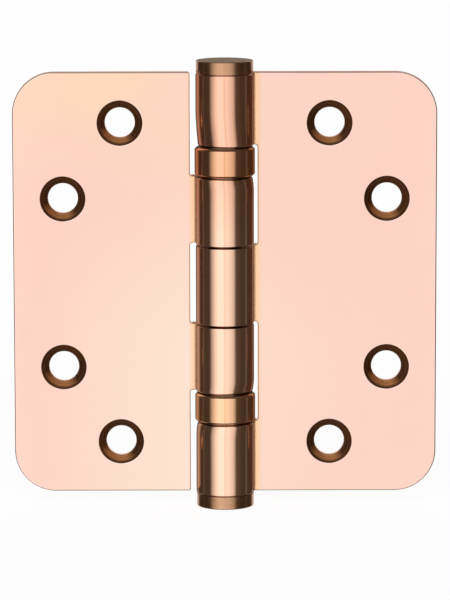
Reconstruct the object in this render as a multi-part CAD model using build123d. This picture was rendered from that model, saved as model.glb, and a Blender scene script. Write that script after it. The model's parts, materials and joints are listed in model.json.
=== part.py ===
from build123d import *
import math
import os

# Ball bearing butt hinge, opened flat. The pin axis is Z, the leaves lie in the XZ plane,
# and the countersunk faces look along -Y. The origin is on the pin axis at mid-height.
# Lengths are in millimetres, angles in degrees.

# Leaves
leaf_height = 102.0
leaf_width = 51.0  # pin axis to the free edge
sheet = 3.0  # thickness of the leaf and of the rolled knuckle wall
corner_radius = 10.0
closed_gap = 3.0  # between the two leaves when they are shut
edge_break = 0.35  # small bevel round each leaf

# Screw holes: a pair near the barrel and a pair near the free edge of each leaf
hole_diameter = 7.2
countersink_diameter = 11.0
countersink_angle = 90.0
inner_hole_x = 25.2  # from the pin axis
inner_hole_inset = 12.2  # from the top and bottom edges
outer_hole_inset = 12.0  # from the free edge
outer_hole_spacing = 41.0

# Barrel: the right leaf has the middle and end knuckles, the left leaf the two between
pin_diameter = 7.9
pin_clearance = 0.05  # radial, pin in knuckle
middle_knuckle = 18.7
end_knuckle = 17.4
knuckle_gap = 0.5  # between the middle knuckle and its neighbours
bearing_height = 7.5
left_clearance = 1.4  # between the barrel and the left leaf's slots
right_clearance = 0.9  # between the barrel and the right leaf's slots
slot_corner = 0.7
bend_run = 1.5  # straight stretch between the roll and the joggle
bend_end = 9.0  # where the joggle runs out into the flat leaf, from the pin axis
seam = 0.2  # between the end of the roll and the leaf

# Polishing takes the knuckles down towards the bearings, the top knuckle the furthest
polish_depth = 0.5
polish_length = 3.0
top_polish_depth = 0.8
top_polish_length = 9.0
polish_fade = 45.0  # where round the knuckle the cut fades out, from +X: at the bend

# Flat buttons that close the barrel: the pin's head on top, a pressed-in cap below
button_height = 3.1
button_inset = 0.1  # how far the button's rim lies inside the knuckle's
button_bevel = 0.25
spigot_length = 6.0
spigot_clearance = 0.02  # radial, pressed into the end knuckle

# Thrust bearings: two races, a cage of balls and a loose outer collar
collar_proud = 0.25  # how far the collar stands out from the knuckles
collar_gap = 0.25  # between the collar and the knuckle at each end
collar_bevel = 0.5
collar_wall = 0.75
collar_clearance = 0.15  # radial, collar over races
race_clearance = 0.15  # radial, race over pin
ball_diameter = 1.6
ball_count = 7
ball_clearance = 0.03  # between a ball and its races or window
cage_thickness = 0.8

# Worked out from the above
half_height = leaf_height / 2
leaf_face = closed_gap / 2
leaf_back = leaf_face + sheet
pin_radius = pin_diameter / 2
bore_radius = pin_radius + pin_clearance
roll_radius = bore_radius + sheet
outer_hole_x = leaf_width - outer_hole_inset
inner_hole_z = half_height - inner_hole_inset
outer_hole_z = outer_hole_spacing / 2

middle_end = middle_knuckle / 2
inner_start = middle_end + knuckle_gap
end_start = half_height - end_knuckle
inner_end = end_start - bearing_height
bearing_centre = (inner_end + end_start) / 2

collar_height = bearing_height - 2 * collar_gap
collar_radius = roll_radius + collar_proud
collar_bore = collar_radius - collar_wall
race_radius = collar_bore - collar_clearance
race_bore = pin_radius + race_clearance
ball_circle = (race_bore + race_radius) / 2
race_face = ball_diameter / 2 + ball_clearance  # from the bearing's middle

cut_margin = 2.0  # how far a cutting solid reaches past what it cuts
hair = 0.02  # for picking edges on a plane, and for a cut that just clears a surface
upside_down = Rot(180, 0, 0)


def polar(centre, radius, angle):
    """A point on a circle, with the angle counted from +X."""
    turn = math.radians(angle)
    return (centre[0] + radius * math.cos(turn), centre[1] + radius * math.sin(turn))


def arc(centre, radius, start, sweep):
    """An arc in the XY plane."""
    middle = polar(centre, radius, start + sweep / 2)
    return ThreePointArc(polar(centre, radius, start), middle, polar(centre, radius, start + sweep))


def rolled_section():
    """The sheet cut across the pin: rolled eye, joggle of two equal arcs, flat leaf."""
    axis = (0.0, 0.0)
    step = bore_radius - leaf_face
    run = bend_end - bend_run
    bend = 2 * math.degrees(math.atan2(step, run))
    bend_radius = run / (2 * math.sin(math.radians(bend)))
    tight = bend_radius - sheet / 2
    wide = bend_radius + sheet / 2
    first = (bend_run, bore_radius + sheet / 2 - bend_radius)
    second = (bend_end, leaf_face + sheet / 2 + bend_radius)

    # The roll stops where its outer corner is one seam away from the joggle
    reach = math.hypot(*second)
    closeness = (roll_radius**2 + reach**2 - (wide + seam) ** 2) / (2 * roll_radius * reach)
    roll_end = math.degrees(math.atan2(second[1], second[0]) - math.acos(closeness))
    roll_turn = 270 + roll_end

    eye = [
        arc(axis, roll_radius, 90, roll_turn),
        Line(polar(axis, roll_radius, roll_end), polar(axis, bore_radius, roll_end)),
        arc(axis, bore_radius, roll_end, -roll_turn),
    ]
    front = [
        Line((0, bore_radius), (bend_run, bore_radius)),
        arc(first, tight, 90, -bend),
        arc(second, wide, 270 - bend, bend),
        Line((bend_end, leaf_face), (leaf_width, leaf_face)),
        Line((leaf_width, leaf_face), (leaf_width, leaf_back)),
    ]
    back = [
        Line((leaf_width, leaf_back), (bend_end, leaf_back)),
        arc(second, tight, 270, -bend),
        arc(first, wide, 90 - bend, bend),
        Line((bend_run, roll_radius), (0, roll_radius)),
    ]
    return make_face(eye + front + back)


def slot(edge, bottom, top):
    """Room in a leaf for the other leaf's knuckle, from beyond the barrel to the slot's edge."""
    start = -(roll_radius + cut_margin)
    middle = ((start + edge) / 2, 0, (bottom + top) / 2)
    return Pos(*middle) * Box(edge - start, -2 * start, top - bottom)


def polish_cut(end, outward, depth, length):
    """What polishing takes off a knuckle end: all that stands outside a roll tilted towards the bend.

    The tilt makes the cut deepest opposite the bend, and lets it fade out at the leaf.
    """
    tilt = math.degrees(math.atan2(depth, length))
    reach = length + cut_margin
    sleeve = Pos(0, 0, reach / 2) * Cylinder(roll_radius + hair, reach)
    waste = sleeve - Rot(0, tilt, 0) * Cylinder(roll_radius, 2 * (reach + cut_margin))
    waste = split(waste, bisect_by=Plane.YZ.offset(cut_margin), keep=Keep.BOTTOM)
    waste = Rot(0, 0, polish_fade) * waste
    if outward < 0:
        waste = mirror(waste, about=Plane.XY)
    return Pos(0, 0, end - outward * length) * waste


def screw_hole(x, z):
    """A countersunk hole, entered from the face."""
    hole_radius = hole_diameter / 2
    sink_radius = countersink_diameter / 2
    sink_depth = (sink_radius - hole_radius) / math.tan(math.radians(countersink_angle / 2))
    entry = Plane(origin=(x, leaf_face, z), x_dir=(1, 0, 0), z_dir=(0, -1, 0))
    through = Pos(0, 0, -sheet / 2) * Cylinder(hole_radius, sheet + cut_margin)
    sink = Pos(0, 0, -sink_depth / 2) * Cone(hole_radius, sink_radius, sink_depth)
    return entry * (through + sink)


def leaf(clearance, slots, polished_ends):
    """A leaf that lies on the +X side of the pin."""
    body = extrude(rolled_section(), half_height, both=True)
    body = fillet(body.edges().filter_by(Axis.Y).group_by(Axis.X)[-1], corner_radius)
    slot_edge = roll_radius + clearance
    for bottom, top in slots:
        body -= slot(slot_edge, bottom, top)
    upright = body.edges().filter_by(Axis.Y)
    body = fillet(upright.filter_by_position(Axis.X, slot_edge - hair, slot_edge + hair), slot_corner)
    face_edges = body.edges().filter_by_position(Axis.Y, leaf_face - hair, leaf_face + hair)
    body = chamfer(face_edges.filter_by(Axis.Z).group_by(Axis.X)[-1], edge_break)
    for polished_end in polished_ends:
        body -= polish_cut(*polished_end)
    for x, z in ((inner_hole_x, inner_hole_z), (outer_hole_x, outer_hole_z)):
        body -= screw_hole(x, z)
        body -= screw_hole(x, -z)
    return body


def right_leaf():
    """Knuckles 1, 3 and 5: top, middle and bottom."""
    slots = [(middle_end, end_start), (-end_start, -middle_end)]
    top_end = (end_start, -1, top_polish_depth, top_polish_length)
    bottom_end = (-end_start, 1, polish_depth, polish_length)
    return leaf(right_clearance, slots, [top_end, bottom_end])


def left_leaf():
    """Knuckles 2 and 4, made on the +X side and mirrored."""
    past_end = half_height + cut_margin
    slots = [(-inner_start, inner_start), (inner_end, past_end), (-past_end, -inner_end)]
    upper_end = (inner_end, 1, polish_depth, polish_length)
    lower_end = (-inner_end, -1, polish_depth, polish_length)
    return mirror(leaf(left_clearance, slots, [upper_end, lower_end]), about=Plane.YZ)


def button():
    """The flat disc on top of the barrel."""
    disc = Cylinder(roll_radius - button_inset, button_height)
    disc = chamfer(disc.edges().filter_by(GeomType.CIRCLE).sort_by(Axis.Z)[-1], button_bevel)
    return Pos(0, 0, half_height + button_height / 2) * disc


def hinge_pin():
    """A rod through all the knuckles, hung from its button and reaching down to the bottom cap."""
    length = leaf_height - spigot_length
    return button() + Pos(0, 0, half_height - length / 2) * Cylinder(pin_radius, length)


def bottom_cap():
    """A button of its own with a spigot in the end knuckle, made upright and turned over."""
    spigot = Cylinder(bore_radius - spigot_clearance, spigot_length)
    return upside_down * (button() + Pos(0, 0, half_height - spigot_length / 2) * spigot)


def bearing_collar():
    """The loose outer shell, bevelled at both rims."""
    blank = Cylinder(collar_radius, collar_height)
    blank = chamfer(blank.edges().filter_by(GeomType.CIRCLE), collar_bevel)
    return blank - Cylinder(collar_bore, collar_height)


def top_race():
    """The upper race: a thick washer between the knuckle and the balls."""
    seat = bearing_height / 2
    blank = Cylinder(race_radius, seat - race_face) - Cylinder(race_bore, seat - race_face)
    return Pos(0, 0, (seat + race_face) / 2) * blank


def ball_places():
    """Where the balls lie round the pin."""
    return PolarLocations(ball_circle, ball_count)


def ball_cage():
    """A flat ring with a square window for each ball."""
    side = ball_diameter + 2 * ball_clearance
    ring = Cylinder(race_radius, cage_thickness) - Cylinder(race_bore, cage_thickness)
    return ring - [place * Box(side, side, cage_thickness) for place in ball_places()]


def balls():
    """One ring of balls, each rounded to eighteen flats: they are many, and none of them shows."""
    cube = Box(ball_diameter, ball_diameter, ball_diameter)
    ball = cube & (Rot(45, 0, 0) * cube) & (Rot(0, 45, 0) * cube) & (Rot(0, 0, 45) * cube)
    return Part() + [place * ball for place in ball_places()]


parts = {
    "left_leaf": left_leaf(),
    "right_leaf": right_leaf(),
    "hinge_pin": hinge_pin(),
    "bottom_cap": bottom_cap(),
}
for name, height in (("upper", bearing_centre), ("lower", -bearing_centre)):
    place = Pos(0, 0, height)
    parts[f"{name}_bearing_collar"] = place * bearing_collar()
    parts[f"{name}_bearing_top_race"] = place * top_race()
    parts[f"{name}_bearing_bottom_race"] = place * upside_down * top_race()
    parts[f"{name}_bearing_cage"] = place * ball_cage()
    parts[f"{name}_bearing_balls"] = place * balls()

os.makedirs("parts", exist_ok=True)
for name, shape in parts.items():
    export_step(shape, f"parts/{name}.step")
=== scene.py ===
import json
import math

import bmesh
import bpy
from bpy.props import FloatProperty, FloatVectorProperty, IntProperty, PointerProperty
from mathutils import Matrix, Vector

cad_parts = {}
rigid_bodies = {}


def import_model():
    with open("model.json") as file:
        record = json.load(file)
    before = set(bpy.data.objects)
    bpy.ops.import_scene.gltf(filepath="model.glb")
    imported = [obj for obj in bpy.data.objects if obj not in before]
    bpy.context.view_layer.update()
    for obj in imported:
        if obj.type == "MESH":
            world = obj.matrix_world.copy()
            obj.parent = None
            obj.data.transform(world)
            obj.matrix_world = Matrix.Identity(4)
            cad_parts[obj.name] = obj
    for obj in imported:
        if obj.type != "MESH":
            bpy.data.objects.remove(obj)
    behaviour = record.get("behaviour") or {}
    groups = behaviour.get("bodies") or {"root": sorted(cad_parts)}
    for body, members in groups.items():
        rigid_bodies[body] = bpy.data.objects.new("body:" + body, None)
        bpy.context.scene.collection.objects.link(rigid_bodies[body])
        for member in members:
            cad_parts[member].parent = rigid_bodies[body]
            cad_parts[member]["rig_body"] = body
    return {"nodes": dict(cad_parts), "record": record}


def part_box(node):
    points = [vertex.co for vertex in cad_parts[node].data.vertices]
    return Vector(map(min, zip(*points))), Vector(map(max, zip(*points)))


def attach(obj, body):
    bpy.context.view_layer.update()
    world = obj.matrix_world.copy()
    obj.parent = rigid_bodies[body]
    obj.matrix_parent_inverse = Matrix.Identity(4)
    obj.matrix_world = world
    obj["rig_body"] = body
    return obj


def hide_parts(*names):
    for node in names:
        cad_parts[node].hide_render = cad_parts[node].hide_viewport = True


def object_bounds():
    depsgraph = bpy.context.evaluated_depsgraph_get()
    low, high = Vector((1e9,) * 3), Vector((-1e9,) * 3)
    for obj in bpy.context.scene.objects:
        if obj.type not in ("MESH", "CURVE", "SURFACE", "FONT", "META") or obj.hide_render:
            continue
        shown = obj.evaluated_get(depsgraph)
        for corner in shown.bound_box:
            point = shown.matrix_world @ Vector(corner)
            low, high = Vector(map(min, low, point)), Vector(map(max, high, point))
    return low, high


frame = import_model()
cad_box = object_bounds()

# Ball bearing hinge, opened flat. Lengths are in metres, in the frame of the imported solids:
# the pin stands along Z, the leaves spread along X and their countersunk faces look along -Y.

bl_info = {
    "name": "Ball Bearing Hinge",
    "version": (1, 0, 0),
    "blender": (4, 5, 0),
    "location": "View3D > Sidebar > Hinge",
    "description": "Polished leaves, turned pin head and cap, bearings and a white stage for one hinge",
    "category": "Object",
}

leaf_low, leaf_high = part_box("right_leaf")
collar_low, collar_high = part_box("upper_bearing_collar")
pin_low, pin_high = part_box("hinge_pin")
cap_low, cap_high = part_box("bottom_cap")
balls_low, balls_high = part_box("upper_bearing_balls")

# Meshes: tolerances in metres, and the number of steps in each rounding
TOUCH = 1e-6  # nearer than this, two places are the same
MARGIN = 0.002  # how far a cutter reaches past what it cuts
WIDEST = 0.001  # the rounding of an edge of full weight
STRIP = 0.0001  # width of the flat strip beside a joggle
RING = 0.00075  # from one ring of a polished knuckle to the next, wider than the rounding at its end
CREASE = math.radians(30)  # edges over this angle are rounded
POLISH_CURVE = 1.6  # the power by which polishing deepens towards a knuckle's end
SQUARE_ON = 0.9  # a face turned this far along an axis lies across it
EDGE_ON = 0.3  # a face turned less than this along an axis stands along it
EDGE_STEPS = 4
RIM_STEPS = 5
BEND_STEPS = 5  # few, so that the broken edges of the slots stay clear of the next step
SLOT_STEPS = 8
CORNER_STEPS = 24
HOLE_STEPS = 96
END_STEPS = 6  # the end of a knuckle is split once in so many steps round the barrel
BALL_DETAIL = 3  # how often the faces of a ball are divided
COLLAR_PROFILE = 0.3  # flatter than a quarter round

# Plating and painted highlight: where one tone passes into the next, as distances from the pin's axis
BARREL_SIDE = (0.00703, 0.0071)
JOGGLE_START = (0.00705, 0.0072)
JOGGLE_END = (0.0074, 0.0090)
WARM_END = (0.0072, 0.0090)
# Where the painted highlight beside the barrel fades out
PAINTED_HIGHLIGHT_REACH = (0.010, 0.045)

# Plating, painted highlight and painted shade: the same as heights, and from the left leaf to the right one
# Where the painted shade towards the top of the barrel begins and where it is full
TOP_SHADE_START = (0.012, 0.026)
# How high up the painted highlight on the left leaf fades out
PAINTED_HIGHLIGHT_TOP = (-0.012, 0.030)
GOLD_START = (0.020, 0.048)
LEFT_TO_RIGHT = (-0.004, 0.004)

WHITE = Vector((1.0, 1.0, 1.0))
BARREL_HAZE = 0.035  # roughness that the barrel has more than the leaves
JOGGLE_HAZE = 0.2  # roughness that the joggle has more
GLINT_SIDE = (0.25, 0.0, 0.97)  # where the side of a countersink with the painted glint faces
RIM_DEPTH = (0.12, 0.3)  # where a countersink's dark rim ends, in parts of the sheet

# Finishes in the order of a piece's material slots
LEAF_FINISHES = ("buffed copper", "countersunk copper", "sheared copper")
BUFFED, COUNTERSUNK, SHEARED = range(3)
BUTTON_FINISHES = ("turned copper", "faced copper")
TURNED, FACED = range(2)
BEARING_FINISHES = {"top_race": "ground steel", "bottom_race": "ground steel", "cage": "pressed brass"}

# Stage
COOL_WHITE = Vector((1.0, 1.02, 1.1))
FARTHEST = 20  # how many times its own distance the camera sees
OVERHEAD = (52, 68)  # where the panel passes into the ceiling, in degrees above the horizon
UNDERNEATH = (-42, -60)  # where it passes into the ground
FLOOR_REACH = 6.0  # half the width of the floor
FLOOR_GREY = (0.22, 0.22, 0.22, 1.0)  # what the floor throws back on the hinge
FLOOR_SEEN = (0.9, 0.9, 0.9, 1.0)  # what the camera gets from it besides


def length(name, description, default):
    return FloatProperty(
        name=name, description=description, default=default, min=0.0, precision=5, unit="LENGTH"
    )


def angle(name, description, degrees):
    return FloatProperty(name=name, description=description, default=math.radians(degrees), subtype="ANGLE")


def share(name, description, default):
    return FloatProperty(
        name=name, description=description, default=default, min=0.0, max=1.0, subtype="FACTOR"
    )


def plain_number(name, description, default):
    return FloatProperty(name=name, description=description, default=default, min=0.0)


def count(name, description, default, least):
    return IntProperty(name=name, description=description, default=default, min=least)


def colour(name, description, default):
    return FloatVectorProperty(
        name=name, description=description, default=default, size=3, min=0.0, max=1.0, subtype="COLOR"
    )


class HingeSizes(bpy.types.PropertyGroup):
    """Sizes of the leaves, the barrel and the bearings."""

    leaf_width: length("Leaf Width", "From the pin's axis to the free edge", leaf_high.x)
    leaf_height: length("Leaf Height", "From the bottom edge to the top edge", leaf_high.z - leaf_low.z)
    sheet: length("Sheet", "Thickness of the leaf and of the knuckle wall", 0.003)
    leaf_face: length("Leaf Face", "How far the face lies behind the pin's axis", 0.0015)
    corner_radius: length("Corner Radius", "Outer corners of a leaf", 0.010)
    roll_radius: length("Roll Radius", "Outside of a knuckle", leaf_high.y)
    left_clearance: length("Left Clearance", "From the barrel to the left leaf's slots", 0.0014)
    right_clearance: length("Right Clearance", "From the barrel to the right leaf's slots", 0.0009)
    slot_corner: length("Slot Corner", "Rounding of a slot's inner corners", 0.0007)
    bend_run: length("Bend Run", "Straight stretch between the roll and the joggle", 0.0015)
    bend_reach: length("Bend Reach", "From the pin's axis to the flat of the leaf", 0.0076)
    seam: length("Seam", "Between the end of the roll and the leaf", 0.0002)
    middle_end: length("Middle End", "Half the height of the middle knuckle", 0.00935)
    knuckle_gap: length("Knuckle Spacing", "Between the middle knuckle and its neighbours", 0.0005)
    collar_gap: length("Collar Clearance", "Between a collar and the knuckles", 0.00025)
    polish_depth: length("Polish Depth", "What polishing takes off a knuckle's end", 0.0005)
    polish_length: length("Polish Length", "How far from the end polishing starts", 0.003)
    top_polish_depth: length("Top Polish Depth", "What polishing takes off the top knuckle's end", 0.0008)
    top_polish_length: length("Top Polish Length", "How far from its end the top knuckle is polished", 0.009)
    countersink: length("Countersink", "Radius of a screw hole at the face", 0.0055)
    edge: length("Leaf Edge", "Breaking of the edges of a leaf", 0.00035)
    knuckle_rim: length("Knuckle Rim", "Rounding of a knuckle's ends", 0.00045)
    slot_rim: length("Slot Rim", "Breaking of the slots' edges in front", 0.00025)
    middle_rim: length("Middle Rim", "Rounding of the ends that meet at the middle knuckle", 0.00015)
    rim: length("Button Rim", "Rounding of the pin's head and of the cap", 0.00025)
    collar_rim: length("Collar Rim", "Rounding of a collar's outer rims", 0.0006)
    fine_edge: length("Fine Edge", "Rounding of the edges that lie against another piece", 0.00012)
    collar_wall: length("Collar Wall", "Thickness of a collar", 0.00075)
    button_height: length("Button Height", "Height of the pin's head and of the cap", 0.0031)
    pin_radius: length("Pin Radius", "Radius of the rod", 0.00395)
    spigot_radius: length("Spigot Radius", "Radius of the cap's spigot", 0.00398)
    ball_radius: length("Ball Radius", "Radius of a bearing ball", (balls_high.z - balls_low.z) / 2)
    ball_circle: length("Ball Circle", "Radius of the circle that the balls run on", 0.005225)
    ball_count: count("Ball Count", "Balls in a bearing", 7, least=3)
    round_steps: count("Round Steps", "Steps in a full turn of a round surface", 144, least=24)


class HingeFinishes(bpy.types.PropertyGroup):
    """Colours of the finishes."""

    copper: colour("Polished Copper", "Plating on the leaves", (0.94, 0.63, 0.525))
    # Painted highlight: a paler tone beside the barrel and low on the left leaf, standing in for the
    # brighter reflection there
    copper_painted_highlight: colour("Pale Copper", "The same plating where it is thinnest", (0.96, 0.755, 0.63))
    copper_gold: colour("Golden Copper", "The same, towards the top of the left leaf", (0.955, 0.67, 0.48))
    # The warm barrel tone is paler than the plating's own colour: in part a painted highlight that keeps the
    # barrel's highlight pale under a dimmer glow
    copper_warm: colour("Warm Copper", "The same on the barrel, where it is thickest", (0.97, 0.605, 0.42))
    # Painted shade: a tint that darkens the barrel and the collars towards the top, standing in for the
    # dimmer light up there
    stain_and_top_shade: colour("Stain", "What the plating is tinted by towards the top of the barrel", (0.92, 0.82, 0.78))
    joggle: colour("Joggle", "The same plating beside the barrel, left satin", (0.96, 0.60, 0.33))
    collar: colour("Collar Copper", "Plating on the loose collars", (0.95, 0.575, 0.34))
    collar_dark: colour("Dark Collar Copper", "The same plating where it is stained", (0.90, 0.52, 0.295))
    sheared: colour("Cut Edge", "Plated edges of the sheet, as the press left them", (0.55, 0.31, 0.20))
    sheared_dark: colour("Dark Cut Edge", "The same edges in their shear marks", (0.38, 0.205, 0.13))
    barrel_edge: colour("Grazed Copper", "Tint of the barrel, seen along the surface", (0.15, 0.19, 0.22))
    satin: colour("Satin Copper", "Turned plating round the pin's head and the cap", (0.60, 0.33, 0.18))
    satin_dark: colour("Dark Satin", "The same plating in its turning lines", (0.51, 0.28, 0.152))
    dull: colour("Dull Copper", "Faced ends of the pin's head and the cap", (0.22, 0.15, 0.095))
    dull_dark: colour("Dark Dull Copper", "The same ends in their facing marks", (0.15, 0.10, 0.062))
    dull_edge: colour("Grazed Dull Copper", "Tint of those ends, seen along the surface", (0.87, 0.76, 0.65))
    # Painted glint: the orange on the lower side of the countersinks stands in for light caught there
    painted_sink_glint: colour("Countersink", "Plating on the lower side of the countersinks", (0.92, 0.43, 0.17))
    # Dark countersink tone: partly the machined finish, partly painted shade
    sink_dark_and_shade: colour("Dark Countersink", "The same plating round the rest of them", (0.10, 0.05, 0.026))
    # Painted shade: the bearing steel is darkened, standing in for the shade in the narrow gaps it is seen
    # through
    steel: colour("Bearing Steel", "Ground races and balls, dark with oil", (0.22, 0.15, 0.10))
    steel_dark: colour("Dark Steel", "Grinding lines of the steel", (0.12, 0.075, 0.05))
    brass: colour("Cage Brass", "Pressed ball cages", (0.78, 0.60, 0.30))
    brass_dark: colour("Dark Brass", "Tarnish on the brass", (0.58, 0.41, 0.18))


class HingeStage(bpy.types.PropertyGroup):
    """Camera, floor and studio."""

    distance: length("Distance", "From the camera to the hinge", 1.0)
    elevation: angle("Elevation", "How far the camera looks down", 8.8)
    roll: angle("Roll", "How far the camera leans", -0.12)
    aim: FloatVectorProperty(
        name="Aim", description="Where the camera looks", default=(0.0, 0.0, -0.0039), size=3, unit="LENGTH"
    )
    lens: plain_number("Lens", "Focal length of the camera in millimetres", 249.0)
    panel: plain_number("Panel", "Brightness of the panel behind the camera", 1.04)
    glow: plain_number("Glow", "Brightness of the panel on both sides of the camera", 1.3)
    flag: colour("Flag", "The dark flags at the sides", (0.066, 0.052, 0.041))
    strip: share("Strip", "Brightness of the slit between two flags", 0.14)
    backdrop: share("Backdrop", "Brightness of the backdrop behind the hinge", 0.9)
    ceiling: share("Ceiling", "Brightness straight overhead", 0.1)
    ground: share("Ground", "Brightness straight underneath", 0.08)


class HingeSettings(bpy.types.PropertyGroup):
    """All that can be set on the hinge and its stage."""

    sizes: PointerProperty(type=HingeSizes)
    finishes: PointerProperty(type=HingeFinishes)
    stage: PointerProperty(type=HingeStage)


# Finishes


def place(tree, kind, sockets=None, **settings):
    """Adds a node, applies its settings, and gives each named socket a value or a link."""
    node = tree.nodes.new(kind)
    for name, value in settings.items():
        setattr(node, name, value)
    for name, value in (sockets or {}).items():
        if isinstance(value, bpy.types.NodeSocket):
            tree.links.new(value, node.inputs[name])
        else:
            node.inputs[name].default_value = value
    return node


def noise(tree, vector, scale, detail=2.0, roughness=0.5):
    """A noise texture's grey value."""
    sockets = {"Vector": vector, "Scale": scale, "Detail": detail, "Roughness": roughness}
    return place(tree, "ShaderNodeTexNoise", sockets).outputs["Fac"]


def stretched(tree, vector, scale):
    """Coordinates drawn out, so that a texture on them turns into lines."""
    return place(tree, "ShaderNodeMapping", {"Vector": vector, "Scale": scale}).outputs["Vector"]


def spread(tree, value, low, high, source_low=0.3, source_high=0.7):
    """A grey value taken from its usual range to another one."""
    sockets = {
        "Value": value, "From Min": source_low, "From Max": source_high, "To Min": low, "To Max": high
    }
    return place(tree, "ShaderNodeMapRange", sockets).outputs["Result"]


def math_node(tree, operation, first, second):
    """A calculation on two grey values, each a socket or a fixed number."""
    return place(tree, "ShaderNodeMath", {0: first, 1: second}, operation=operation).outputs["Value"]


def plus(tree, first, second):
    """Two grey values added."""
    return math_node(tree, "ADD", first, second)


def times(tree, first, *others):
    """Grey values multiplied together."""
    for other in others:
        first = math_node(tree, "MULTIPLY", first, other)
    return first


def between(tree, value, low, high, source_low=0.3, source_high=0.7):
    """A colour that goes from one to another with a grey value."""
    node = place(tree, "ShaderNodeValToRGB", {"Fac": value})
    stops = ((source_low, low), (source_high, high))
    for element, (position, shade) in zip(node.color_ramp.elements, stops):
        element.position = position
        element.color = (*shade, 1.0)
    return node.outputs["Color"]


def mixed(tree, amount, first, second):
    """A colour between two others, each a socket or a fixed colour."""
    sides = [side if isinstance(side, bpy.types.NodeSocket) else (*side, 1.0) for side in (first, second)]
    node = place(tree, "ShaderNodeMixRGB", {"Fac": amount, "Color1": sides[0], "Color2": sides[1]})
    return node.outputs["Color"]


def from_axis(tree, where):
    """The distance from the pin's axis, and the three coordinates."""
    axes = place(tree, "ShaderNodeSeparateXYZ", {"Vector": where}).outputs
    flat = place(tree, "ShaderNodeCombineXYZ", {"X": axes["X"], "Y": axes["Y"]}).outputs["Vector"]
    reach = place(tree, "ShaderNodeVectorMath", {0: flat}, operation="LENGTH").outputs["Value"]
    return reach, axes


def metal(name):
    """A new bare metal: its material, tree, shader and object coordinates."""
    finish = bpy.data.materials.new(name)
    finish.use_nodes = True
    tree = finish.node_tree
    shader = tree.nodes["Principled BSDF"]
    shader.inputs["Metallic"].default_value = 1.0
    return finish, tree, shader, place(tree, "ShaderNodeTexCoord").outputs["Object"]


def relief(tree, shader, height, depth):
    """Gives the shader a surface relief of so many metres."""
    bump = place(tree, "ShaderNodeBump", {"Height": height, "Distance": depth, "Strength": 1.0})
    tree.links.new(bump.outputs["Normal"], shader.inputs["Normal"])


def feed(tree, shader, **sockets):
    """Links values to the shader's sockets of those names."""
    for name, value in sockets.items():
        tree.links.new(value, shader.inputs[name.replace("_", " ")])


def hazed(tree, marks, roughness, stain_and_top_shade, most):
    """A roughness that follows the tool marks and rises a little in the stains."""
    return plus(tree, spread(tree, marks, *roughness), spread(tree, stain_and_top_shade, 0.0, most))


def stained(tree, where, tone, stain_and_top_shade):
    """A tone of the barrel's plating, darkened and tinted towards the top by painted shade, standing in for
    the dimmer light that the top of the barrel reflects.
    """
    height = place(tree, "ShaderNodeSeparateXYZ", {"Vector": where}).outputs["Z"]
    tint = mixed(tree, spread(tree, height, 0.0, 1.0, *TOP_SHADE_START), WHITE, stain_and_top_shade)
    return place(tree, "ShaderNodeVectorMath", {0: tone, 1: tint}, operation="MULTIPLY").outputs["Vector"]


def buff(tree, shader, where, haze):
    """A mirror with faint buffing lines, smudges and slow waves."""
    lines = noise(tree, stretched(tree, where, (260.0, 260.0, 5200.0)), 1.0, 3.0)
    smudges = noise(tree, where, 95.0, 4.0, 0.6)
    gloss = hazed(tree, lines, (0.045, 0.085), smudges, 0.03)
    feed(tree, shader, Roughness=plus(tree, gloss, haze))
    waves = noise(tree, where, 85.0, 1.0)
    relief(tree, shader, plus(tree, waves, times(tree, lines, 0.004)), 0.00003)


def buffed_copper(finishes):
    """Buffed plating of the leaves: paler beside the barrel by a painted highlight, warmer on the barrel in
    a tone that is partly painted highlight and darker towards its top by painted shade, satin in the joggle.
    """
    finish, tree, shader, where = metal("buffed copper")
    reach, axes = from_axis(tree, where)

    # Painted highlight: paler beside the barrel, most of all low down on the left leaf, standing in for the
    # brighter reflection there; the slow drift is a random tone
    painted_highlight_by_barrel = spread(tree, reach, 0.8, 0.0, *PAINTED_HIGHLIGHT_REACH)
    painted_highlight_left = spread(tree, axes["X"], 1.0, 0.4, *LEFT_TO_RIGHT)
    painted_highlight_low = spread(tree, axes["Z"], 1.0, 0.12, *PAINTED_HIGHLIGHT_TOP)
    drift = spread(tree, noise(tree, where, 17.0, 1.0), -0.08, 0.12)
    painted_highlight = plus(tree, times(tree, painted_highlight_by_barrel, painted_highlight_left, painted_highlight_low), drift)
    leaf_tone = between(tree, painted_highlight, finishes.copper, finishes.copper_painted_highlight, 0.0, 1.0)

    # Golden in patches towards the top of the left leaf
    higher_up = spread(tree, axes["Z"], 0.0, 1.0, *GOLD_START)
    far_left = spread(tree, axes["X"], 1.0, 0.0, *LEFT_TO_RIGHT)
    patches = spread(tree, noise(tree, where, 30.0, 1.0), 0.2, 1.0, 0.35, 0.6)
    golden = times(tree, higher_up, far_left, patches)
    leaf_tone = mixed(tree, golden, leaf_tone, finishes.copper_gold)

    # Warm on the barrel in a tone that is partly painted highlight, and satin in the joggle beside it
    warmth = spread(tree, reach, 1.0, 0.0, *WARM_END)
    # The barrel's tone gets painted shade towards the top
    tone = mixed(tree, warmth, leaf_tone, stained(tree, where, finishes.copper_warm, finishes.stain_and_top_shade))
    past_roll = spread(tree, reach, 0.0, 1.0, *JOGGLE_START)
    bent = times(tree, past_roll, spread(tree, reach, 1.0, 0.0, *JOGGLE_END))
    feed(tree, shader, Base_Color=mixed(tree, bent, tone, finishes.joggle))
    on_barrel = spread(tree, reach, 1.0, 0.0, *BARREL_SIDE)
    feed(tree, shader, Specular_Tint=mixed(tree, on_barrel, WHITE, finishes.barrel_edge))
    haze = plus(tree, times(tree, bent, JOGGLE_HAZE), times(tree, on_barrel, BARREL_HAZE))
    buff(tree, shader, where, haze)
    return finish


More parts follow.
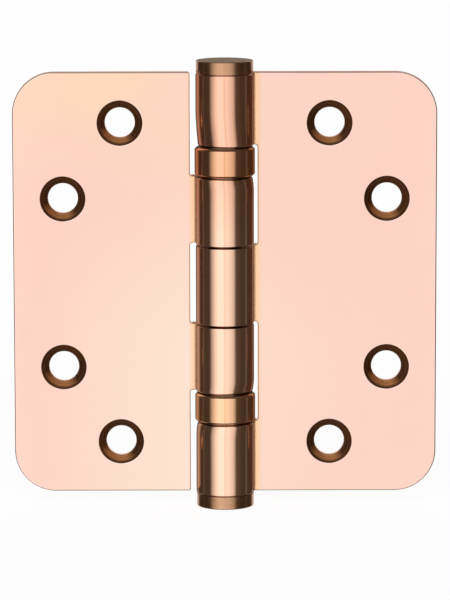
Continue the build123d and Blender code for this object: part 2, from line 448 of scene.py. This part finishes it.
def collar_copper(finishes):
    """Buffed plating of the loose collars, the same all round."""
    finish, tree, shader, where = metal("collar copper")
    tone = between(tree, noise(tree, where, 60.0, 1.0), finishes.collar_dark, finishes.collar)
    # Painted shade towards the top, as on the barrel
    feed(tree, shader, Base_Color=stained(tree, where, tone, finishes.stain_and_top_shade))
    shader.inputs["Specular Tint"].default_value = (*finishes.barrel_edge, 1.0)
    buff(tree, shader, where, BARREL_HAZE)
    return finish


def sheared_copper(finishes):
    """Plated edges of the sheet, not buffed: fine shear marks through its thickness."""
    finish, tree, shader, where = metal("sheared copper")
    marks = noise(tree, stretched(tree, where, (2600.0, 300.0, 2600.0)), 1.0, 3.0)
    stain_and_top_shade = noise(tree, where, 300.0, 2.0)
    tone = between(tree, marks, finishes.sheared_dark, finishes.sheared)
    feed(tree, shader, Base_Color=tone, Roughness=hazed(tree, marks, (0.14, 0.24), stain_and_top_shade, 0.06))
    shader.inputs["Specular Tint"].default_value = (*finishes.sheared, 1.0)
    relief(tree, shader, marks, 0.000004)
    return finish


def turned_copper(finishes):
    """Turned plating: fine rings left by the lathe on the flat and round the side."""
    finish, tree, shader, where = metal("turned copper")
    reach, axes = from_axis(tree, where)
    rings = place(tree, "ShaderNodeCombineXYZ", {"X": reach, "Y": axes["Z"]}).outputs["Vector"]
    cuts = noise(tree, rings, 9000.0, 2.0)
    bands = noise(tree, rings, 900.0, 2.0)
    stain_and_top_shade = noise(tree, where, 240.0, 3.0)
    marks = plus(tree, times(tree, cuts, 0.6), times(tree, bands, 0.4))
    tone = between(tree, marks, finishes.satin_dark, finishes.satin)
    feed(tree, shader, Base_Color=tone, Roughness=hazed(tree, cuts, (0.17, 0.24), stain_and_top_shade, 0.06))
    relief(tree, shader, cuts, 0.000004)
    return finish


def faced_copper(finishes):
    """Faced ends: plating over a coarse facing cut, dull and a little stained."""
    finish, tree, shader, where = metal("faced copper")
    reach = from_axis(tree, where)[0]
    rings = place(tree, "ShaderNodeCombineXYZ", {"X": reach}).outputs["Vector"]
    cuts = noise(tree, rings, 5200.0, 2.0)
    stain_and_top_shade = noise(tree, where, 330.0, 3.0)
    marks = plus(tree, times(tree, cuts, 0.5), times(tree, stain_and_top_shade, 0.5))
    tone = between(tree, marks, finishes.dull_dark, finishes.dull)
    feed(tree, shader, Base_Color=tone, Roughness=hazed(tree, cuts, (0.40, 0.50), stain_and_top_shade, 0.06))
    shader.inputs["Specular Tint"].default_value = (*finishes.dull_edge, 1.0)
    relief(tree, shader, cuts, 0.000012)
    return finish


def countersunk_copper(finishes):
    """Plated tool marks: dark rings down the cone of a countersink, its dark tone partly painted shade, with
    a painted glint on its lower side.
    """
    finish, tree, shader, where = metal("countersunk copper")
    sizes = bpy.context.scene.hinge.sizes
    depth = place(tree, "ShaderNodeSeparateXYZ", {"Vector": where}).outputs["Y"]
    rings = place(tree, "ShaderNodeCombineXYZ", {"X": depth}).outputs["Vector"]
    marks = noise(tree, rings, 2400.0, 3.0)
    stain_and_top_shade = noise(tree, where, 420.0, 2.0)
    normal = place(tree, "ShaderNodeTexCoord").outputs["Normal"]
    # Painted glint on the side of the cone that faces up, below the dark rim
    upward = place(tree, "ShaderNodeVectorMath", {0: normal, 1: GLINT_SIDE}, operation="DOT_PRODUCT")
    painted_glint = spread(tree, upward.outputs["Value"], 0.0, 0.6, 0.36, 0.62)
    rim = [sizes.leaf_face + part * sizes.sheet for part in RIM_DEPTH]
    below_rim = spread(tree, depth, 0.0, 1.0, *rim)
    marks_and_painted_glint = plus(tree, times(tree, marks, 0.65), times(tree, painted_glint, below_rim))
    tone = between(tree, marks_and_painted_glint, finishes.sink_dark_and_shade, finishes.painted_sink_glint, 0.22, 0.95)
    feed(tree, shader, Base_Color=tone, Roughness=hazed(tree, marks, (0.42, 0.54), stain_and_top_shade, 0.08))
    relief(tree, shader, marks, 0.00001)
    return finish


def ground_steel(finishes):
    """Ground bearing steel with fine lines round the pin, darkened as painted shade for the narrow gaps it
    is seen through.
    """
    finish, tree, shader, where = metal("ground steel")
    lines = noise(tree, stretched(tree, where, (900.0, 900.0, 7000.0)), 1.0, 3.0)
    stain_and_top_shade = noise(tree, where, 300.0, 2.0)
    tone = between(tree, lines, finishes.steel_dark, finishes.steel)
    feed(tree, shader, Base_Color=tone, Roughness=hazed(tree, lines, (0.14, 0.22), stain_and_top_shade, 0.05))
    relief(tree, shader, lines, 0.000002)
    return finish


def pressed_brass(finishes):
    """Plain brass sheet with a little tarnish."""
    finish, tree, shader, where = metal("pressed brass")
    tarnish = noise(tree, where, 380.0, 4.0, 0.6)
    grain = noise(tree, where, 4200.0, 2.0)
    tone = between(tree, tarnish, finishes.brass_dark, finishes.brass)
    feed(tree, shader, Base_Color=tone, Roughness=hazed(tree, grain, (0.22, 0.30), tarnish, 0.08))
    relief(tree, shader, grain, 0.000003)
    return finish


def finish_named(name):
    """The finish of that name, made when it is first asked for."""
    makers = {
        "buffed copper": buffed_copper,
        "collar copper": collar_copper,
        "sheared copper": sheared_copper,
        "turned copper": turned_copper,
        "faced copper": faced_copper,
        "countersunk copper": countersunk_copper,
        "ground steel": ground_steel,
        "pressed brass": pressed_brass,
    }
    return bpy.data.materials.get(name) or makers[name](bpy.context.scene.hinge.finishes)


# Meshes


def object_from(bm, name, softness=None):
    """Links a bmesh into the scene as an object, its sharp edges weighted by how far to round them."""
    bmesh.ops.remove_doubles(bm, verts=bm.verts, dist=TOUCH)
    bmesh.ops.recalc_face_normals(bm, faces=bm.faces)
    if softness:
        weight = bm.edges.layers.float.new("bevel_weight_edge")
        for edge in bm.edges:
            if edge.calc_face_angle(0.0) > CREASE:
                edge[weight] = softness(edge) / WIDEST
    mesh = bpy.data.meshes.new(name)
    bm.to_mesh(mesh)
    bm.free()
    mesh.shade_smooth()
    made = bpy.data.objects.new(name, mesh)
    bpy.context.scene.collection.objects.link(made)
    return made


def stands_for(piece, node):
    """Lets a piece ride on the body of its CAD node and be shown in its place."""
    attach(piece, frame["nodes"][node]["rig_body"])
    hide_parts(node)


def wear(piece, *names):
    """Gives a piece its finishes, in the order of its material slots."""
    for name in names:
        piece.data.materials.append(finish_named(name))


def soften(piece, segments, profile=0.5, finish=-1):
    """Rounds the edges by their weights and keeps the faces between them true."""
    bevel = piece.modifiers.new("softened edges", "BEVEL")
    bevel.width = WIDEST
    bevel.segments = segments
    bevel.profile = profile
    bevel.material = finish
    bevel.use_clamp_overlap = False
    bevel.limit_method = "WEIGHT"
    bevel.harden_normals = True


def round_off(bm, edges, radius, segments):
    """Rounds a few edges of a bmesh for good."""
    bmesh.ops.bevel(
        bm, geom=edges, offset=radius, segments=segments, profile=0.5, affect="EDGES", material=-1
    )


def spin_outline(bm, outline, centre, axis, steps, closed=False):
    """Spins a line through the places of an outline about an axis, all the way round."""
    verts = [bm.verts.new(spot) for spot in outline]
    followers = verts[1:] + verts[:1] if closed else verts[1:]
    edges = [bm.edges.new(pair) for pair in zip(verts, followers)]
    bmesh.ops.spin(
        bm, geom=verts + edges, cent=centre, axis=axis, angle=2 * math.pi, steps=steps, use_merge=True
    )


def arc_on(bm, vert, centre, turn, steps):
    """Carries a line on along an arc, and returns its new end."""
    made = bmesh.ops.spin(bm, geom=[vert], cent=(*centre, 0), axis=(0, 0, 1), angle=turn, steps=steps)
    return [part for part in made["geom_last"] if isinstance(part, bmesh.types.BMVert)][0]


def line_on(bm, vert, x, y):
    """Carries a line on straight to a place, and returns its new end."""
    end = bmesh.ops.extrude_vert_indiv(bm, verts=[vert])["verts"][0]
    end.co = (x, y, 0)
    return end


def rolled_section(bm, sizes):
    """Draws the sheet cut across the pin: rolled eye, joggle of two equal arcs, flat leaf."""
    face, back = sizes.leaf_face, sizes.leaf_face + sizes.sheet
    roll, bore = sizes.roll_radius, sizes.roll_radius - sizes.sheet
    start, stop = sizes.bend_run, sizes.bend_reach
    bend = 2 * math.atan2(bore - face, stop - start)
    radius = (stop - start) / (2 * math.sin(bend))
    first = (start, bore + sizes.sheet / 2 - radius)
    second = (stop, face + sizes.sheet / 2 + radius)

    # The roll stops where its outer corner is one seam away from the joggle
    reach = math.hypot(*second)
    wide = radius + sizes.sheet / 2 + sizes.seam
    closeness = (roll**2 + reach**2 - wide**2) / (2 * roll * reach)
    roll_end = math.atan2(second[1], second[0]) - math.acos(closeness)
    roll_turn = 1.5 * math.pi + roll_end
    roll_steps = round(sizes.round_steps * roll_turn / (2 * math.pi))

    first_vert = bm.verts.new((roll * math.cos(roll_end), roll * math.sin(roll_end), 0))
    vert = arc_on(bm, first_vert, (0, 0), -roll_turn, roll_steps)
    vert = line_on(bm, vert, start, roll)
    vert = arc_on(bm, vert, first, -bend, BEND_STEPS)
    vert = arc_on(bm, vert, second, bend, BEND_STEPS)
    vert = line_on(bm, vert, sizes.leaf_width, back)
    vert = line_on(bm, vert, sizes.leaf_width, face)
    vert = line_on(bm, vert, stop, face)
    vert = arc_on(bm, vert, second, -bend, BEND_STEPS)
    vert = arc_on(bm, vert, first, bend, BEND_STEPS)
    vert = line_on(bm, vert, 0, bore)
    vert = arc_on(bm, vert, (0, 0), roll_turn, roll_steps)
    bm.edges.new((vert, first_vert))
    return bmesh.ops.edgeloop_fill(bm, edges=bm.edges)["faces"][0]


def split_faces(bm, faces, at, normal):
    """Splits faces along a plane and leaves their shape alone."""
    parts = {part for face in faces for part in (*face.verts, *face.edges)} | set(faces)
    bmesh.ops.bisect_plane(bm, geom=list(parts), dist=TOUCH, plane_co=at, plane_no=normal)


def leaf_blank(sizes):
    """A leaf before its slots and holes: the section drawn up to its height, with round outer corners."""
    bm = bmesh.new()
    section = rolled_section(bm, sizes)
    drawn = bmesh.ops.extrude_face_region(bm, geom=[section])["geom"]
    tops = [part for part in drawn if isinstance(part, bmesh.types.BMVert)]
    bmesh.ops.translate(bm, verts=tops, vec=(0, 0, sizes.leaf_height))
    bmesh.ops.translate(bm, verts=bm.verts, vec=(0, 0, -sizes.leaf_height / 2))
    corners = [
        edge for edge in bm.edges
        if all(vert.co.x > sizes.leaf_width - TOUCH for vert in edge.verts)
        and abs(edge.verts[0].co.z - edge.verts[1].co.z) < TOUCH
    ]
    round_off(bm, corners, sizes.corner_radius, CORNER_STEPS)

    # Split through the screw holes, so that no face has a hole inside it, and beside the joggle,
    # so that its curve is not carried on across the flat
    planes = [((sizes.bend_reach + STRIP, 0, 0), (1, 0, 0))]
    for centre, radius in screw_holes():
        planes += [(centre, (1, 0, 0)), (centre, (0, 0, 1))]
    for at, normal in planes:
        flat = [face for face in bm.faces if face.calc_center_median().x > sizes.bend_reach]
        split_faces(bm, flat, at, normal)
    return object_from(bm, "leaf_blank")


def slot_cutter(bm, sizes, clearance, bottom, top):
    """Room for the other leaf's knuckle, with round inner corners."""
    edge_x = sizes.roll_radius + clearance
    reach = sizes.roll_radius + MARGIN
    middle = Vector(((edge_x - reach) / 2, 0, (bottom + top) / 2))
    size = Vector((edge_x + reach, 2 * reach, top - bottom))
    verts = bmesh.ops.create_cube(bm, size=1.0, matrix=Matrix.LocRotScale(middle, None, size))["verts"]
    inner = [vert for vert in verts if vert.co.x > middle.x]
    edges = {
        edge for vert in inner for edge in vert.link_edges
        if edge.other_vert(vert) in inner and abs(edge.verts[0].co.y - edge.verts[1].co.y) > reach
    }
    round_off(bm, list(edges), sizes.slot_corner, SLOT_STEPS)


def hole_cutter(bm, sizes, centre, radius):
    """A countersunk screw hole, spun about its own axis."""
    face, back = sizes.leaf_face, sizes.leaf_face + sizes.sheet
    outline = [
        (0.0, face - MARGIN),
        (sizes.countersink + MARGIN, face - MARGIN),
        (radius, face + sizes.countersink - radius),
        (radius, back + MARGIN),
        (0.0, back + MARGIN),
    ]
    spots = [(centre.x + reach, depth, centre.z) for reach, depth in outline]
    spin_outline(bm, spots, (centre.x, 0, centre.z), (0, 1, 0), HOLE_STEPS)


def cut(piece, cutter):
    """Takes the cutter out of a piece for good."""
    step = piece.modifiers.new("cut", "BOOLEAN")
    step.object = cutter
    step.operation = "DIFFERENCE"
    step.solver = "EXACT"
    before = piece.data
    evaluated = piece.evaluated_get(bpy.context.evaluated_depsgraph_get())
    piece.data = bpy.data.meshes.new_from_object(evaluated)
    piece.modifiers.clear()
    bpy.data.meshes.remove(before)
    bpy.data.meshes.remove(cutter.data)


def split_ends(bm, sizes):
    """Splits the C-shaped ends of the knuckles across the sheet, so that each face has a simple outline."""
    bore = sizes.roll_radius - sizes.sheet
    for face in [each for each in bm.faces if abs(each.normal.z) > SQUARE_ON]:
        outer = [vert for vert in face.verts if abs(vert.co.xy.length - sizes.roll_radius) < TOUCH]
        inner = [vert for vert in face.verts if abs(vert.co.xy.length - bore) < TOUCH]
        for vert in outer[::END_STEPS]:
            across = [other for other in inner if vert.co.xy.angle(other.co.xy) < TOUCH / bore]
            if across:
                bmesh.ops.connect_verts(bm, verts=[vert, across[0]])


def polish(bm, sizes, end, outward, depth, run):
    """Takes a knuckle's end down on the side away from the bend, more and more towards the end."""
    start = end - outward * run
    steps = round(run / RING)
    for step in range(-1, steps):
        knuckle = [face for face in bm.faces if face.calc_center_median().x < sizes.roll_radius]
        level = start + (end - start) * step / steps
        split_faces(bm, knuckle, (0, 0, level), (0, 0, 1))
    towards_bend = Vector((1, 1)).normalized()
    for vert in bm.verts:
        share_done = (vert.co.z - start) / (end - start)
        across = vert.co.xy
        outside = sizes.roll_radius - sizes.sheet / 2 < across.length < sizes.roll_radius + TOUCH
        if outside and 0 < share_done < 1 + TOUCH:
            lean = towards_bend * depth * share_done**POLISH_CURVE
            from_lean = across - lean
            if from_lean.length > sizes.roll_radius:
                vert.co.xy = lean + from_lean.normalized() * sizes.roll_radius


def screw_holes():
    """Centre and radius of each screw hole of the right leaf, from the record's mounts."""
    for mount in frame["record"]["mounts"]:
        if mount["kind"] == "bolt_pattern" and mount["name"].startswith("right"):
            half = mount["dims"]["spacing_y_mm"] / 2000
            for side in (half, -half):
                yield Vector(mount["pos_m"]) + Vector((0, 0, side)), mount["dims"]["hole_r_mm"] / 1000


def leaf(sizes, name, clearance, slots, polished_ends, mirrored):
    """One leaf, made on the +X side: blank, slots, holes, polished knuckle ends."""
    piece = leaf_blank(sizes)
    cutters = bmesh.new()
    for bottom, top in slots:
        slot_cutter(cutters, sizes, clearance, bottom, top)
    for centre, radius in screw_holes():
        hole_cutter(cutters, sizes, centre, radius)
    cut(piece, object_from(cutters, "cutters"))

    bm = bmesh.new()
    bm.from_mesh(piece.data)
    bpy.data.meshes.remove(piece.data)
    split_ends(bm, sizes)
    for polished_end in polished_ends:
        polish(bm, sizes, *polished_end)
    for face in bm.faces:
        middle = face.calc_center_median()
        near = min((middle.xz - centre.xz).length for centre, radius in screw_holes())
        inside = near < sizes.countersink - TOUCH and abs(face.normal.y) < SQUARE_ON
        on_leaf = middle.x > sizes.roll_radius + clearance - TOUCH
        sheared = abs(face.normal.z) > SQUARE_ON or on_leaf and abs(face.normal.y) < EDGE_ON
        face.material_index = COUNTERSUNK if inside else SHEARED if sheared else BUFFED
    if mirrored:
        bmesh.ops.scale(bm, vec=(-1, 1, 1), verts=bm.verts)

    def softness(edge):
        if any(face.material_index == COUNTERSUNK for face in edge.link_faces):
            return sizes.fine_edge
        ends = [vert.co for vert in edge.verts]
        by_slot = all(abs(end.x) < sizes.roll_radius + clearance + TOUCH for end in ends)
        past_roll = any(end.xy.length > sizes.roll_radius + TOUCH for end in ends)
        in_front = all(end.y < sizes.leaf_face + sizes.sheet / 2 for end in ends)
        if by_slot and past_roll and in_front:
            return sizes.slot_rim
        level = abs(ends[0].z - ends[1].z) < TOUCH
        outside = all(abs(end.xy.length - sizes.roll_radius) < sizes.sheet / 2 for end in ends)
        if not (level and outside):
            return sizes.edge
        at_middle = abs(ends[0].z) < sizes.middle_end + sizes.knuckle_gap + TOUCH
        return sizes.middle_rim if at_middle else sizes.knuckle_rim

    piece = object_from(bm, name, softness)
    wear(piece, *LEAF_FINISHES)
    soften(piece, EDGE_STEPS, finish=BUFFED)
    return piece


def turned(outline, steps, name, softness):
    """A piece off the lathe: an outline of (radius, height) pairs spun about the pin's axis."""
    bm = bmesh.new()
    spots = [(reach, 0, height) for reach, height in outline]
    spin_outline(bm, spots, (0, 0, 0), (0, 0, 1), steps, closed=outline[0][0] > 0)
    return object_from(bm, name, softness)


# Operators


def sines(degrees):
    """The heights of directions that rise by so many degrees."""
    return [math.sin(math.radians(each)) for each in degrees]


class HINGE_OT_leaves(bpy.types.Operator):
    """Make the two leaves with their rolled knuckles and countersunk holes"""

    bl_idname = "hinge.leaves"
    bl_label = "Leaves"

    def execute(self, context):
        sizes = context.scene.hinge.sizes

        # Heights at which the end knuckles start, and those next to the middle one end and start
        end_start = collar_high.z + sizes.collar_gap
        near_end = collar_low.z - sizes.collar_gap
        near_start = sizes.middle_end + sizes.knuckle_gap
        past = leaf_high.z + MARGIN
        right = leaf(
            sizes, "right_leaf_dressed", sizes.right_clearance,
            [(sizes.middle_end, end_start), (-end_start, -sizes.middle_end)],
            [
                (end_start, -1, sizes.top_polish_depth, sizes.top_polish_length),
                (-end_start, 1, sizes.polish_depth, sizes.polish_length),
            ],
            mirrored=False,
        )
        stands_for(right, "right_leaf")
        left = leaf(
            sizes, "left_leaf_dressed", sizes.left_clearance,
            [(-near_start, near_start), (near_end, past), (-past, -near_end)],
            [
                (near_end, 1, sizes.polish_depth, sizes.polish_length),
                (-near_end, -1, sizes.polish_depth, sizes.polish_length),
            ],
            mirrored=True,
        )
        stands_for(left, "left_leaf")
        return {"FINISHED"}


class HINGE_OT_pin(bpy.types.Operator):
    """Turn the headed pin and the bottom cap"""

    bl_idname = "hinge.pin"
    bl_label = "Pin and Bottom Cap"

    def execute(self, context):
        sizes = context.scene.hinge.sizes
        head_foot = pin_high.z - sizes.button_height
        cap_top = cap_low.z + sizes.button_height

        def softness(edge):
            outermost = all(abs(vert.co.z) > pin_high.z - TOUCH for vert in edge.verts)
            return sizes.rim if outermost else sizes.fine_edge

        pin = turned(
            [
                (0.0, pin_high.z), (pin_high.x, pin_high.z), (pin_high.x, head_foot),
                (sizes.pin_radius, head_foot), (sizes.pin_radius, pin_low.z), (0.0, pin_low.z),
            ],
            sizes.round_steps, "hinge_pin_dressed", softness,
        )
        cap = turned(
            [
                (0.0, cap_low.z), (cap_high.x, cap_low.z), (cap_high.x, cap_top),
                (sizes.spigot_radius, cap_top), (sizes.spigot_radius, cap_high.z), (0.0, cap_high.z),
            ],
            sizes.round_steps, "bottom_cap_dressed", softness,
        )
        for piece, node in ((pin, "hinge_pin"), (cap, "bottom_cap")):
            wear(piece, *BUTTON_FINISHES)
            for face in piece.data.polygons:
                face.material_index = FACED if abs(face.center.z) > pin_high.z - TOUCH else TURNED
            soften(piece, RIM_STEPS)
            stands_for(piece, node)
        return {"FINISHED"}


class HINGE_OT_collars(bpy.types.Operator):
    """Turn the two loose bearing collars"""

    bl_idname = "hinge.collars"
    bl_label = "Bearing Collars"

    def execute(self, context):
        sizes = context.scene.hinge.sizes
        for node in ("upper_bearing_collar", "lower_bearing_collar"):
            low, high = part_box(node)
            bore = high.x - sizes.collar_wall

            def softness(edge):
                outer = all(vert.co.xy.length > high.x - TOUCH for vert in edge.verts)
                return sizes.collar_rim if outer else sizes.fine_edge

            piece = turned(
                [(bore, low.z), (high.x, low.z), (high.x, high.z), (bore, high.z)],
                sizes.round_steps, f"{node}_dressed", softness,
            )
            wear(piece, "collar copper")
            soften(piece, RIM_STEPS, profile=COLLAR_PROFILE)
            stands_for(piece, node)
        return {"FINISHED"}


class HINGE_OT_bearings(bpy.types.Operator):
    """Make the balls round, and finish the races and cages"""

    bl_idname = "hinge.bearings"
    bl_label = "Balls, Races and Cages"

    def execute(self, context):
        sizes = context.scene.hinge.sizes
        for side in ("upper", "lower"):
            node = f"{side}_bearing_balls"
            low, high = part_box(node)
            bm = bmesh.new()
            for ball in range(sizes.ball_count):
                turn = Matrix.Rotation(2 * math.pi * ball / sizes.ball_count, 4, "Z")
                centre = turn @ Vector((sizes.ball_circle, 0, (low.z + high.z) / 2))
                bmesh.ops.create_icosphere(
                    bm, subdivisions=BALL_DETAIL, radius=sizes.ball_radius, matrix=Matrix.Translation(centre)
                )
            piece = object_from(bm, f"{node}_dressed")
            wear(piece, "ground steel")
            stands_for(piece, node)
            for part, finish in BEARING_FINISHES.items():
                solid = frame["nodes"][f"{side}_bearing_{part}"]
                solid.data.materials.clear()
                wear(solid, finish)
        return {"FINISHED"}


class HINGE_OT_stage(bpy.types.Operator):
    """Set up the camera, the white floor and the studio round it"""

    bl_idname = "hinge.stage"
    bl_label = "Stage"

    def execute(self, context):
        stage = context.scene.hinge.stage
        self.set_camera(context, stage)
        self.lay_floor(context)
        self.light_studio(context, stage)
        context.scene.view_settings.view_transform = "Standard"
        return {"FINISHED"}

    def set_camera(self, context, stage):
        """Looks down a little on the hinge from straight in front."""
        camera = bpy.data.objects.new("camera", bpy.data.cameras.new("camera"))
        context.scene.collection.objects.link(camera)
        camera.data.lens = stage.lens
        camera.data.clip_end = FARTHEST * stage.distance
        back = Vector((0, -math.cos(stage.elevation), math.sin(stage.elevation)))
        look = (-back).to_track_quat("-Z", "Y").to_matrix().to_4x4()
        place_at = Matrix.Translation(Vector(stage.aim) + back * stage.distance)
        camera.matrix_world = place_at @ look @ Matrix.Rotation(stage.roll, 4, "Z")
        context.scene.camera = camera

    def lay_floor(self, context):
        """A floor that the camera sees as white, and that the metal does not mirror."""
        bm = bmesh.new()
        under = Matrix.Translation((0, 0, cad_box[0][2]))
        bmesh.ops.create_grid(bm, x_segments=1, y_segments=1, size=FLOOR_REACH, matrix=under)
        floor = object_from(bm, "floor")
        floor.visible_glossy = False
        paper = bpy.data.materials.new("white_floor")
        paper.use_nodes = True
        tree = paper.node_tree
        shader = tree.nodes["Principled BSDF"]
        shader.inputs["Base Color"].default_value = FLOOR_GREY
        shader.inputs["Roughness"].default_value = 1.0
        shader.inputs["Specular IOR Level"].default_value = 0.0
        shader.inputs["Emission Color"].default_value = FLOOR_SEEN
        seen = place(tree, "ShaderNodeLightPath").outputs["Is Camera Ray"]
        tree.links.new(seen, shader.inputs["Emission Strength"])
        floor.data.materials.append(paper)

    def bands(self, tree, turn, stage):
        """Flags, slits, panel and backdrop round the hinge."""
        ramp = place(tree, "ShaderNodeValToRGB", {"Fac": turn})
        flag = Vector(stage.flag)
        panel, glow = stage.panel * WHITE, stage.glow * COOL_WHITE
        backdrop, strip = stage.backdrop * WHITE, stage.strip * WHITE
        stops = [
            # Backdrop, then the left flags with a slit between them
            (-142, backdrop), (-132, flag), (-98, flag), (-95, strip), (-91, flag), (-63, flag),
            # Panel and glow to the left of the camera
            (-53, 0.5 * panel), (-38, 0.98 * panel), (-26, glow), (-5.4, glow),
            # Panel behind the camera
            (-3.6, panel), (3.6, panel),
            # Glow and panel to the right of the camera
            (5.4, 0.96 * glow), (12, 0.84 * glow), (30, 0.82 * panel), (36, 0.60 * panel),
            # The right flags with a slit between them, then the backdrop again
            (44, 1.6 * flag), (58, 1.4 * flag), (68, flag), (88, flag), (91, strip), (94, strip),
            (98, flag), (132, flag), (142, backdrop),
        ]
        elements = ramp.color_ramp.elements
        while len(elements) < len(stops):
            elements.new(0.5)
        for element, (degrees, shade) in zip(elements, stops):
            element.position = degrees / 360 + 0.5
            element.color = (*shade, 1.0)
        return ramp.outputs["Color"]

    def light_studio(self, context, stage):
        """Lights the hinge by a panel and a backdrop, with dark flags that give the barrel its bands."""
        world = bpy.data.worlds.new("studio")
        context.scene.world = world
        world.use_nodes = True
        tree = world.node_tree
        where = place(tree, "ShaderNodeTexCoord").outputs["Generated"]
        axes = place(tree, "ShaderNodeSeparateXYZ", {"Vector": where}).outputs
        azimuth = math_node(tree, "ARCTAN2", axes["X"], times(tree, axes["Y"], -1.0))
        seen = self.bands(tree, spread(tree, azimuth, 0.0, 1.0, -math.pi, math.pi), stage)
        overhead = spread(tree, axes["Z"], 0.0, 1.0, *sines(OVERHEAD))
        underneath = spread(tree, axes["Z"], 0.0, 1.0, *sines(UNDERNEATH))
        path = place(tree, "ShaderNodeLightPath").outputs
        plain = math_node(tree, "MAXIMUM", path["Is Camera Ray"], path["Is Transmission Ray"])
        for amount, level in ((overhead, stage.ceiling), (underneath, stage.ground), (plain, 1.0)):
            seen = mixed(tree, amount, seen, (level, level, level))
        tree.links.new(seen, tree.nodes["Background"].inputs["Color"])


class HINGE_PT_panel(bpy.types.Panel):
    """The hinge's pieces and settings"""

    bl_idname = "HINGE_PT_panel"
    bl_label = "Ball Bearing Hinge"
    bl_space_type = "VIEW_3D"
    bl_region_type = "UI"
    bl_category = "Hinge"

    def draw(self, context):
        layout = self.layout
        for operator in OPERATORS:
            layout.operator(operator.bl_idname)
        for group in (context.scene.hinge.sizes, context.scene.hinge.finishes, context.scene.hinge.stage):
            column = layout.column()
            for name in group.__annotations__:
                column.prop(group, name)


OPERATORS = (HINGE_OT_leaves, HINGE_OT_pin, HINGE_OT_collars, HINGE_OT_bearings, HINGE_OT_stage)
CLASSES = (HingeSizes, HingeFinishes, HingeStage, HingeSettings, *OPERATORS, HINGE_PT_panel)


def register():
    for each in CLASSES:
        bpy.utils.register_class(each)
    bpy.types.Scene.hinge = PointerProperty(type=HingeSettings)


def unregister():
    del bpy.types.Scene.hinge
    for each in reversed(CLASSES):
        bpy.utils.unregister_class(each)


def main():
    register()
    bpy.ops.hinge.leaves()
    bpy.ops.hinge.pin()
    bpy.ops.hinge.collars()
    bpy.ops.hinge.bearings()
    bpy.ops.hinge.stage()


if __name__ == "__main__":
    main()
